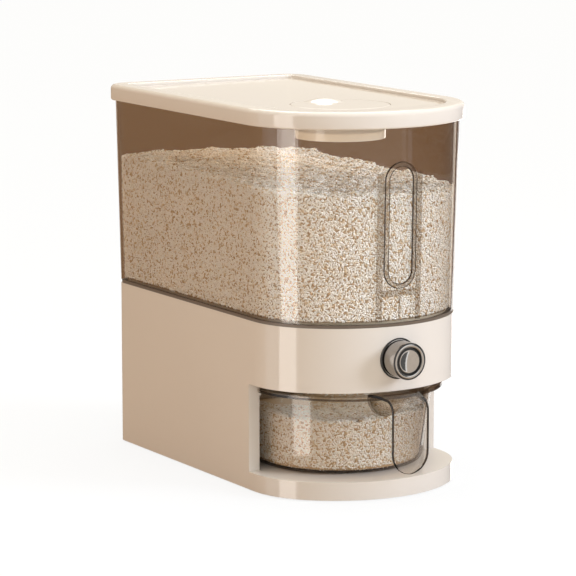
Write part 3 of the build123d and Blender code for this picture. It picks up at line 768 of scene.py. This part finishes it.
def add(piece, other):
    """Join a solid to another."""
    return merge(piece, other, "UNION")


def quarter(radius, steps=6):
    """The steps of a quarter round: how far along each of its two sides."""
    turns = [math.radians(90 * i / steps) for i in range(steps + 1)]
    return [(radius * (1 - math.sin(turn)), radius * (1 - math.cos(turn))) for turn in turns]


lid_edges = [(lid_overhang - inward, lid_bottom + up) for inward, up in quarter(lid_foot)]
lid_edges += [(lid_overhang - inward, lid_top - down) for down, inward in quarter(lid_fillet, 8)]
lid = stack("lid_shell", [plan_ring(grow, z) for grow, z in lid_edges])
deck_edges = [(recess_inset - inward, recess_floor + up) for inward, up in quarter(recess_foot)]
deck_edges += [(recess_inset + out, lid_top - down) for down, out in quarter(recess_rim)]
deck_edges += [(recess_inset + recess_rim, lid_top + 1)]
deck_cutter = stack("cutter", [plan_ring(grow, z) for grow, z in deck_edges])
cut(lid, body_block(lid_overhang - lid_wall, lid_bottom - 1, lid_ceiling))
add(lid, body_block(recess_inset + lid_wall, deck_bottom, lid_ceiling + 0.5))
cut(lid, deck_cutter)
plug = body_block(plug_outer, plug_bottom, lid_ceiling + 0.5)
cut(plug, body_block(plug_outer - plug_wall, plug_bottom - 1, lid_ceiling + 1))
add(lid, plug)
add(lid, round_bar(knob_well + seat_wall, seat_bottom, deck_bottom + 0.5, "z", (0, knob_y), 96))
cut(lid, round_bar(seat_hole, seat_bottom - 1, lid_top + 1, "z", (0, knob_y), 96))
cut(lid, round_bar(knob_well, puck_top, lid_top + 1, "z", (0, knob_y), 96))
soften(lid, 0.5, 50.0)
dress(lid, cream_plastic)
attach(lid, "lid")
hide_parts("lid")


# ---- Moisture knob and box
# A round knob with a low dome for the finger lies in the deck. Below it hangs a white
# round box with a perforated floor, and in it a cloth bag of drying beads.
knob_radius = 43.0
knob_bottom = 324.4
knob_fillet = 0.6
grip_radius = 16.0
grip_y = -38.0
grip_foot = 0.75

knob_turn = np.arange(120) * 2 * math.pi / 120


def knob_top(x, y):
    """Height of the knob's face: flat, with a low dome near its back edge."""
    reach = np.hypot(np.asarray(x), np.asarray(y) - grip_y) / grip_radius
    dome = (lid_top - recess_floor) * (1 - reach**2)
    ease = np.maximum(grip_foot - np.abs(dome), 0.0)
    return recess_floor + np.maximum(dome, 0.0) + 0.25 * ease**2 / grip_foot


def knob_ring(radius, z=None):
    """A circle about the knob's axis, at one height or on the knob's face."""
    x, y = radius * np.cos(knob_turn), knob_y + radius * np.sin(knob_turn)
    return np.column_stack([x, y, knob_top(x, y) if z is None else np.full(len(x), z)])


knob_rings = [
    knob_ring(knob_radius, knob_bottom), knob_ring(knob_radius, recess_floor - knob_fillet),
    knob_ring(knob_radius - 0.2, recess_floor - 0.2), knob_ring(knob_radius - knob_fillet),
]
knob_rings += [knob_ring(radius) for radius in np.linspace(42, 0.6, 48)]
knob = stack("knob_cap", knob_rings)
smooth(knob, 50)
dress(knob, cream_plastic)
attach(knob, "moisture_unit")
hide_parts("moisture_knob")

white_plastic = moulded("white_plastic", (0.70, 0.645, 0.575), 0.1, 900.0, 0.004)
sachet_cloth = moulded("sachet_cloth", (0.82, 0.80, 0.76), 0.85, 1500.0, 0.2, 0.05)
dress(nodes["moisture_box"], white_plastic)
dress(nodes["moisture_grille"], white_plastic)
dress(nodes["moisture_sachet"], sachet_cloth)


# ---- Push button
# A plated ring with a polished dished disc in it. It slides in a dark sleeve that is
# pressed into the band, and its rod opens the gate against a coil spring.
button_steps = 96
ring_side_band = 1
# Bands of the ring's front made near black: painted dark reflection on its rounded outer edge and
# its inner slope.
ring_painted_dark_bands = (2, 3, 4, 10, 11)
# Bands round the disc's rim made near black: painted dark reflection.
disc_painted_dark_bands = (8, 9)
disc_front = -177.0
dish_radius = 9.2
dish_depth = 1.2


def turned(name, profile):
    """A piece turned about the button's axis; the profile is (radius, y) from its back."""
    spins = np.arange(button_steps) * 2 * math.pi / button_steps
    rings = []
    for radius, y in profile:
        rings.append(np.column_stack([
            radius * np.cos(spins), np.full(button_steps, y), button_z + radius * np.sin(spins)
        ]))
    return stack(name, rings, closed=True)


plated = brushed("plated_ring", (0.72, 0.70, 0.68), 0.07)
polished = brushed("polished_disc", (0.72, 0.69, 0.66), 0.08)
# A darker copy of the plating for the ring's side: painted shade.
shaded_plated_side = brushed("shaded_plated_side", (0.40, 0.38, 0.36), 0.1)
# Dark plastic for the sleeve and the rod, also used as painted dark reflection on the button.
dark_plastic = moulded("dark_plastic", (0.03, 0.028, 0.026), 0.3)

button_ring = turned("button_ring", [
    (14.0, -155.0), (15.8, -155.0), (15.8, -176.4), (15.7, -176.9), (15.45, -177.2),
    (14.5, -177.35), (14.3, -177.7), (13.9, -177.95), (13.4, -178.0), (12.8, -177.8),
    (12.2, -177.3), (11.8, -176.6), (11.5, -175.9), (11.5, -173.0), (14.0, -173.0),
])
smooth(button_ring, 60)
dress(button_ring, plated, dark_plastic, shaded_plated_side)
# The ring's side takes the darker plating copy (painted shade); the listed front bands take near
# black (painted dark reflection).
for face in button_ring.data.polygons:
    band = face.index // button_steps
    face.material_index = 2 if band == ring_side_band else int(band in ring_painted_dark_bands)
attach(button_ring, "button")
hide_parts("button_cap")

dish = [
    (radius, disc_front + dish_depth * (1 - (radius / dish_radius) ** 2))
    for radius in (0.02, 2.0, 4.0, 6.0, 7.6, 8.6, dish_radius)
]
button_disc = turned("button_disc", dish + [
    (9.6, disc_front), (9.9, -176.7), (10.1, -175.9), (11.35, -175.7), (11.35, -173.0),
    (0.02, -173.0),
])
smooth(button_disc, 60)
dress(button_disc, polished, dark_plastic)
# The disc's rim bands take near black: painted dark reflection round the dish.
for face in button_disc.data.polygons:
    face.material_index = int(face.index // button_steps in disc_painted_dark_bands)
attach(button_disc, "button")
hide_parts("button_insert")

button_sleeve = turned("button_guide", [
    (16.2, -141.0), (17.6, -141.0), (17.6, -160.0), (17.5, -160.25), (17.2, -160.4),
    (16.6, -160.4), (16.3, -160.25), (16.2, -160.0),
])
smooth(button_sleeve, 50)
dress(button_sleeve, dark_plastic)
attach(button_sleeve, "housing")
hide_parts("button_sleeve")

dress(nodes["push_rod"], dark_plastic)
for name in ("retaining_clip", "return_spring"):
    dress(nodes[name], screw_steel)


# ---- Cup
# The pull-out cup is clear, with a half-round front, a flange that runs on the rails and
# a hollow in front for the finger.
cup_bottom = 17.5
cup_top = 88.0
cup_wall = 2.4
cup_rim_half = 79.6
cup_floor_half = 74.0
cup_rim_front = -147.0
cup_floor_front = -135.0
cup_back = -8.0
cup_floor_back = -12.0
cup_corner = 10.0
cup_fillet = 6.0
flange_bottom = 85.0
flange_front = -157.0
flange_front_half = 86.0
flange_back_half = 82.7
flange_back = -5.0
scoop_y = -162.0
scoop_z = 86.0
scoop_radius = 26.0


def d_ring(half, front, back, corner, z, front_steps=48, corner_steps=8):
    """Half-round front, straight sides and rounded back corners at one height."""
    ring = []
    side_start = front + half
    for i in range(front_steps + 1):
        angle = math.radians(180 + 180 * i / front_steps)
        ring.append((half * math.cos(angle), side_start + half * math.sin(angle), z))
    for x, start in ((half - corner, 0), (corner - half, 90)):
        for i in range(corner_steps + 1):
            angle = math.radians(start + 90 * i / corner_steps)
            y = back - corner + corner * math.sin(angle)
            ring.append((x + corner * math.cos(angle), y, z))
    return np.array(ring)


def cup_ring(z, inset, inward, corner):
    """The leaning cup's plan at a height, made smaller all round."""
    share = (z - cup_bottom) / (cup_top - cup_bottom)
    return d_ring(
        cup_floor_half + (cup_rim_half - cup_floor_half) * share - inset - inward,
        cup_floor_front + (cup_rim_front - cup_floor_front) * share + inset + inward,
        cup_floor_back + (cup_back - cup_floor_back) * share - inset - inward,
        corner, z,
    )


def cup_solid(inset, bottom, top):
    """The cup's form, with its floor's edge rounded, made smaller by an inset."""
    levels = [(inward, bottom + up) for inward, up in quarter(cup_fillet - inset)]
    levels.append((0.0, top))
    return stack("cup_form", [
        cup_ring(z, inset, inward, cup_corner - inset) for inward, z in levels
    ])


def keep(piece, other):
    """Keep only what lies in both."""
    return merge(piece, other, "INTERSECT")


def rounded_plan(half_width, front, back, radius, z, steps=10):
    """A rectangle with rounded corners at one height."""
    ring = []
    corners = [
        (half_width - radius, front + radius, 270), (half_width - radius, back - radius, 0),
        (radius - half_width, back - radius, 90), (radius - half_width, front + radius, 180),
    ]
    for x, y, start in corners:
        for i in range(steps + 1):
            angle = math.radians(start + 90 * i / steps)
            ring.append((x + radius * math.cos(angle), y + radius * math.sin(angle), z))
    return np.array(ring)


def flange():
    """The cup's flat rim: wide in front of the jambs, narrower where it runs between them."""
    front = stack("flange", [
        d_ring(flange_front_half, flange_front, cup_back, cup_corner, z)
        for z in (flange_bottom, cup_top)
    ])
    keep(front, box_block((-100, -180, 80), (100, jamb_y - 0.3, 95)))
    back = stack("flange", [
        rounded_plan(flange_back_half, jamb_y - 10, flange_back, 6.0, z)
        for z in (flange_bottom, cup_top)
    ])
    return add(front, back)


def ball(radius, levels=40, sides=64):
    """The ball that the finger hollow is cut with."""
    spin = np.arange(sides) * 2 * math.pi / sides
    rings = []
    for i in range(1, levels):
        angle = math.pi * i / levels
        rings.append(np.column_stack([
            radius * math.sin(angle) * np.cos(spin),
            scoop_y + radius * math.sin(angle) * np.sin(spin),
            np.full(sides, scoop_z - radius * math.cos(angle)),
        ]))
    return stack("ball", rings)


cup = cup_solid(0.0, cup_bottom, cup_top)
skin = ball(scoop_radius + cup_wall)
keep(skin, cup_solid(0.02, cup_bottom, cup_top - 0.5))
add(cup, flange())
cut(cup, cup_solid(cup_wall, cup_bottom + cup_wall, cup_top + 2))
add(cup, skin)
finger_hollow = ball(scoop_radius)
keep(finger_hollow, box_block((-100, -200, cup_bottom), (100, 0, flange_bottom)))
cut(cup, finger_hollow)
cup.name = "cup_wall"
soften(cup, 0.5, 45.0, 2)
cup_plastic = clear_plastic("cup_plastic", (0.965, 0.94, 0.905), (0.40, 0.29, 0.2), 0.8)
cup_hollow_shade = clear_plastic("cup_hollow_shade", (0.88, 0.81, 0.72), (0.05, 0.035, 0.025), 1.4, 1.9)
flange_underside_shade = clear_plastic("flange_underside_shade", (0.34, 0.26, 0.19), (0.12, 0.085, 0.06), 1.2)
dress(cup, cup_plastic, cup_hollow_shade, flange_underside_shade)
scoop_middle = Vector((0.0, scoop_y, scoop_z)) * mm
# Faces of the finger hollow's walls take a near-black tint where seen edge-on: painted shade
# outlining the hollow.
for face in cup.data.polygons:
    reach = (face.center - scoop_middle).length / mm
    on_hollow = min(abs(reach - scoop_radius), abs(reach - scoop_radius - cup_wall)) < 0.35
    face.material_index = int(on_hollow and face.center.z < flange_bottom * mm)
    # The flange's underside takes a dark tint: painted shade, a dark line under the flange seen
    # through the clear wall.
    if abs(face.center.z / mm - flange_bottom) < 0.2 and face.normal.z < -0.8:
        face.material_index = 2
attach(cup, "cup")
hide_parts("cup")


# ---- Cup handle
# A clear plate welded to the cup's rim. It comes forward, bends down and ends in a round
# finger pull.
handle_thickness = 2.4
handle_y = -178.8
handle_root_y = -151.0
handle_knee_y = -159.4
handle_root_z = 89.2
handle_bend = 10.0
handle_drop = 3.5
handle_bottom = 24.5
handle_half = 18.3
handle_root_half = 25.0


def handle_route():
    """The plate's middle line in (y, z), from its root to its lower end."""
    corners = [
        Vector((handle_root_y, handle_root_z)), Vector((handle_knee_y, handle_root_z)),
        Vector((handle_y, handle_root_z - handle_drop)), Vector((handle_y, handle_bottom)),
    ]
    route = [corners[0]]
    for i in (1, 2):
        before = (corners[i - 1] - corners[i]).normalized()
        after = (corners[i + 1] - corners[i]).normalized()
        half_angle = before.angle(after) / 2
        reach = handle_bend / math.tan(half_angle)
        start, end = corners[i] + before * reach, corners[i] + after * reach
        middle = corners[i] + (before + after).normalized() * handle_bend / math.sin(half_angle)
        for k in range(11):
            share = k / 10
            point = (start - middle).lerp(end - middle, share).normalized() * handle_bend + middle
            route.append(point)
    straight_from = route[-1]
    for k in range(1, 17):
        share = math.sin(math.radians(90 * k / 16))
        route.append(straight_from.lerp(corners[3], share))
    return route


def handle_half_width(y, z):
    """Half the plate's width at a place on its route."""
    if z < handle_bottom + handle_half:
        drop = handle_bottom + handle_half - z
        return max(math.sqrt(max(handle_half**2 - drop**2, 0.0)), 0.6)
    neck_y = handle_y + handle_bend
    share = min(max((y - neck_y) / (handle_root_y - neck_y), 0.0), 1.0)
    return handle_half + (handle_root_half - handle_half) * share


def handle_plate():
    """The plate along its route, with round long edges."""
    route = handle_route()
    edge = handle_thickness / 2
    rings = []
    for i, point in enumerate(route):
        ahead = route[min(i + 1, len(route) - 1)] - route[max(i - 1, 0)]
        normal = Vector((-ahead.y, ahead.x)).normalized()
        half = handle_half_width(point.x, point.y)
        ring = []
        for side in (1, -1):
            for turn in (90, 60, 30, 0, -30, -60, -90):
                angle = math.radians(turn * side)
                x = side * max(half - edge, 0.05) + side * edge * math.cos(angle)
                out = edge * math.sin(angle)
                ring.append((x, point.x + normal.x * out, point.y + normal.y * out))
        rings.append(np.array(ring))
    return stack("handle_plate", rings)


handle = handle_plate()
smooth(handle, 50)
handle_plastic = clear_plastic("handle_plastic", (0.95, 0.93, 0.905), (0.6, 0.5, 0.4), 1.2)
handle_edge_shade = clear_plastic("handle_edge_shade", (0.08, 0.058, 0.042), (0.04, 0.03, 0.022), 1.0, 1.5)
dress(handle, handle_plastic, handle_edge_shade)
# The plate's long edges and the underside of its end take a near-black tint: painted shade for
# clear plastic seen edge-on.
for face in handle.data.polygons:
    if abs(face.normal.x) > 0.25 or (face.normal.z < -0.35 and face.center.z < 0.05):
        face.material_index = 1
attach(handle, "cup")
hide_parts("cup_handle")


# ---- Rice in the cup
# The same rice fills the cup to about two thirds of its height, as a mass with whole
# grains against the clear wall and over the top.
cup_seed = 11
cup_level_z = 65.0
cup_centre = np.array([0.0, -75.0])
cup_floor_z = 20.0
cup_grain_floor_z = 21.0
cup_top_count = 6000
cup_wall_height = 46.0
cup_mass_top_from = 50.0
cup_random = np.random.default_rng(cup_seed)


def cup_rice_level(x, y):
    """Height of the rice in the cup."""
    x, y = np.asarray(x, float), np.asarray(y, float)
    waves = 1.6 * np.sin(x * 0.07 + 0.6), 1.2 * np.cos(y * 0.09), 0.6 * np.sin(x * 0.31)
    return cup_level_z + waves[0] + waves[1] + waves[2]


def cup_inner(z, inset):
    """The plan of the cup's inside at a height."""
    gap = cup_wall + inset
    return cup_ring(z, gap, 0.0, cup_corner - min(gap, 6.0))


def cup_rice_body():
    """The filled volume in the cup."""
    rings = [cup_inner(20.1, 3.4), cup_inner(21.2, 2.0), cup_inner(24.0, 1.4)]
    rim = cup_inner(cup_level_z, 1.7)
    rings += heap_top(rim, cup_centre, cup_rice_level, np.linspace(0.95, 0.05, 14))
    return stack("rice_mass_cup", rings)


cup_fill = cup_rice_body()
cup_fill.data.shade_smooth()
dress(cup_fill, shaded_rice_mass, lit_rice_mass_top)
# Top faces take the light copy of the mass (painted light); the sides take the dark copy (painted
# shade between the grains).
for face in cup_fill.data.polygons:
    on_top = face.center.z / mm > cup_mass_top_from and abs(face.normal.z) > 0.6
    face.material_index = int(on_top)
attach(cup_fill, "cup")


def cup_wall_grains(random):
    """Grains against the inside of the cup."""
    low, high = cup_inner(cup_floor_z, 0.0)[:, :2], cup_inner(cup_level_z, 0.0)[:, :2]
    which, share, rise = round_the_wall(high, cup_wall_height, random)
    count = len(which)
    at_top, at_low = between(high, which, share), between(low, which, share)
    tangent = (np.roll(high, -1, axis=0) - high)[which]
    out = np.column_stack([tangent[:, 1], -tangent[:, 0]])
    out /= np.linalg.norm(out, axis=1)[:, None]
    top = cup_rice_level(at_top[:, 0], at_top[:, 1])
    z = cup_grain_floor_z + (top - cup_grain_floor_z) * rise
    up = ((z - cup_floor_z) / (cup_level_z - cup_floor_z))[:, None]
    place = at_low * (1 - up) + at_top * up
    inward = 0.35 + grain_width * 0.5 + random.uniform(0, 0.5, count)
    inward = inward + np.clip((23.5 - z) * 0.7, 0, 2)
    place = place - out * inward[:, None]
    centres = np.column_stack([place, z])
    normals = np.column_stack([out, np.zeros(count)])
    upright = np.tile([0.0, 0.0, 1.0], (count, 1))
    return heap_of_grains("rice_grains_cup", centres, upright, normals, 0.1, random)


def cup_top_grains(random):
    """Grains over the top of the rice in the cup."""
    ring = cup_inner(cup_level_z, 1.9)[:, :2]
    which = random.integers(0, len(ring), cup_top_count)
    share = random.uniform(0, 1, cup_top_count)[:, None]
    edge = between(ring, which, share)
    reach = np.sqrt(random.uniform(0, 1, cup_top_count))[:, None]
    x, y = (cup_centre + (edge - cup_centre) * reach).T
    return lying_grains("rice_grains_cup_top", x, y, cup_rice_level, (-0.5, 0.7), random)


for grains in (cup_wall_grains(cup_random), cup_top_grains(cup_random)):
    dress(grains, rice_grain)
    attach(grains, "cup")


# ---- Studio
# A pale floor, a soft key lamp from the upper right, a top lamp, a warm low fill from the
# left, and plain cards that only show as reflections.
floor_reach = 14000.0
floor = make_piece("floor", [
    (-floor_reach, -floor_reach, 0), (floor_reach, -floor_reach, 0),
    (floor_reach, floor_reach, 0), (-floor_reach, floor_reach, 0),
], [(0, 1, 2, 3)])
floor.visible_glossy = False


def seen_by_eye(tree):
    """1 for light that reaches the eye straight, through a clear wall or off a mirror."""
    light_path = node(tree, "LightPath")
    seen = light_path.outputs["Is Camera Ray"]
    for kind in ("Is Transmission Ray", "Is Glossy Ray"):
        either = node(tree, "Math")
        either.operation = "MAXIMUM"
        tree.links.new(seen, either.inputs[0])
        tree.links.new(light_path.outputs[kind], either.inputs[1])
        seen = either.outputs[0]
    return seen


def pale_floor():
    """White to the eye with the object's soft shadow on it, and to light that has passed
    through the smoky tank a dim warm glow: painted shade for the dark inside of the tank."""
    material = bpy.data.materials.new("pale_floor")
    tree, output = node_chain(material)
    lit = node(tree, "BsdfDiffuse", {"Color": (0.8, 0.8, 0.8, 1)})
    white = node(tree, "Emission", {"Color": (1, 1, 1, 1)})
    glow_share = node(tree, "Value")
    glow_share.outputs[0].default_value = 0.8
    seen = mixed(tree, glow_share.outputs[0], lit, white)
    # A dim brown glow seen only through the tank: painted shade that darkens its empty inside.
    dim = node(tree, "Emission", {"Color": (0.182, 0.094, 0.043, 1)})
    walls = node(tree, "LightPath").outputs["Transparent Depth"]
    to_eye = mixed(tree, worked_out(tree, "GREATER_THAN", walls, 0.5), seen, dim)
    bounce = node(tree, "BsdfDiffuse", {"Color": (0.62, 0.52, 0.43, 1)})
    choice = mixed(tree, seen_by_eye(tree), bounce, to_eye)
    tree.links.new(choice.outputs["Shader"], output.inputs["Surface"])
    return material


dress(floor, pale_floor())


def studio_world():
    """White to the eye, and a dim warm light on the object."""
    world = bpy.data.worlds.new("studio")
    world.use_nodes = True
    tree = world.node_tree
    tree.nodes.clear()
    ambient = node(tree, "Background", {"Color": (1.0, 0.92, 0.77, 1), "Strength": 0.14})
    white = node(tree, "Background", {"Color": (1, 1, 1, 1), "Strength": 1.0})
    choice = mixed(tree, seen_by_eye(tree), ambient, white)
    output = node(tree, "OutputWorld")
    tree.links.new(choice.outputs["Shader"], output.inputs["Surface"])
    return world


scene.world = studio_world()


def lamp(name, place, aim, size, power, colour):
    """A soft square lamp that doesn't show in reflections."""
    data = bpy.data.lights.new(name, "AREA")
    data.shape = "RECTANGLE"
    data.size, data.size_y = size
    data.energy = power
    data.color = colour
    piece = bpy.data.objects.new(name, data)
    scene.collection.objects.link(piece)
    piece.location = place
    turn = (Vector(aim) - Vector(place)).to_track_quat("-Z", "Y")
    piece.rotation_euler = turn.to_euler()
    piece.visible_glossy = False
    piece.visible_camera = False


middle = (0.0, 0.0, 0.15)
lamp("key_lamp", (1.6, -1.7, 1.0), middle, (0.8, 0.8), 49.0, (0.71, 0.82, 1.0))
lamp("front_lamp", (-1.2, -2.2, 0.62), middle, (1.2, 0.8), 15.0, (0.80, 0.91, 1.0))
lamp("fill_lamp", (-2.3, 0.4, 0.6), middle, (1.4, 1.2), 5.0, (1.0, 0.38, 0.08))
lamp("tank_lamp", (0.0, 0.03, 0.305), (0.0, 0.03, 0.2), (0.16, 0.3), 0.11, (1.0, 0.82, 0.6))
lamp("cup_lamp", (0.0, -0.07, 0.089), (0.0, -0.07, 0.0), (0.12, 0.1), 0.012, (1.0, 0.86, 0.68))
top_light = bpy.data.lights.new("top_lamp", "SUN")
top_light.energy = 3.2
top_light.angle = math.radians(70)
top_light.color = (1.0, 0.985, 0.92)
top_lamp = bpy.data.objects.new("top_lamp", top_light)
scene.collection.objects.link(top_lamp)
top_lamp.visible_glossy = False


def card_glow(name, colour, strength):
    """An even glow, for a card."""
    material = bpy.data.materials.new(name)
    tree, output = node_chain(material)
    glow = node(tree, "Emission", {"Color": (*colour, 1), "Strength": strength})
    tree.links.new(glow.outputs["Emission"], output.inputs["Surface"])
    return material


def only_reflected(piece):
    """Keep a card out of everything but reflections."""
    piece.visible_camera = False
    piece.visible_diffuse = False
    piece.visible_shadow = False
    piece.visible_transmission = False
    piece.visible_volume_scatter = False


def card(name, azimuths, heights, distance, colour, strength, steps=12):
    """A curved plain card round the object."""
    points = []
    for z in heights:
        for i in range(steps + 1):
            angle = math.radians(azimuths[0] + (azimuths[1] - azimuths[0]) * i / steps)
            points.append((distance * math.cos(angle), distance * math.sin(angle), z))
    faces = [(i, i + 1, i + steps + 2, i + steps + 1) for i in range(steps)]
    piece = make_piece(name, points, faces)
    dress(piece, card_glow(name, colour, strength))
    only_reflected(piece)


full_height = (-1500, 1500)
left_colour = (0.40, 0.29, 0.20)
card("strip_card", (176, 201), full_height, 1600.0, (1.0, 0.97, 0.94), 5.0)
card("right_card", (-50, 28), full_height, 1700.0, (0.98, 1.0, 1.0), 0.12)
card("edge_card", (28, 62), (-1500, 160), 1700.0, (1.0, 0.99, 0.97), 2.5)
card("crest_card", (46, 74), (1150, 2300), 1650.0, (1.0, 0.99, 0.97), 6.0)
card("back_card", (25, 95), (260, 1500), 1700.0, (0.84, 0.76, 0.66), 1.0)
card("left_card", (70, 152), full_height, 1700.0, left_colour, 1.0)
card("front_card", (205, 306), full_height, 1700.0, (0.62, 0.55, 0.48), 1.0)

low_card = round_bar(1700.0, -1510.0, -1500.0, steps=120)
low_card.name = "low_card"
dress(low_card, card_glow("low_card", left_colour, 1.0))
only_reflected(low_card)

camera_data = bpy.data.cameras.new("camera")
camera = bpy.data.objects.new("camera", camera_data)
scene.collection.objects.link(camera)
camera.location = (-1.3453, -2.2517, 0.5869)
aim = Vector((-0.0081, 0.0094, 0.1573))
camera.rotation_euler = (aim - camera.location).to_track_quat("-Z", "Y").to_euler()
camera_data.lens = 187.77
camera_data.sensor_width = 36.0
camera_data.clip_end = 60.0
scene.camera = camera
scene.view_settings.view_transform = "Standard"
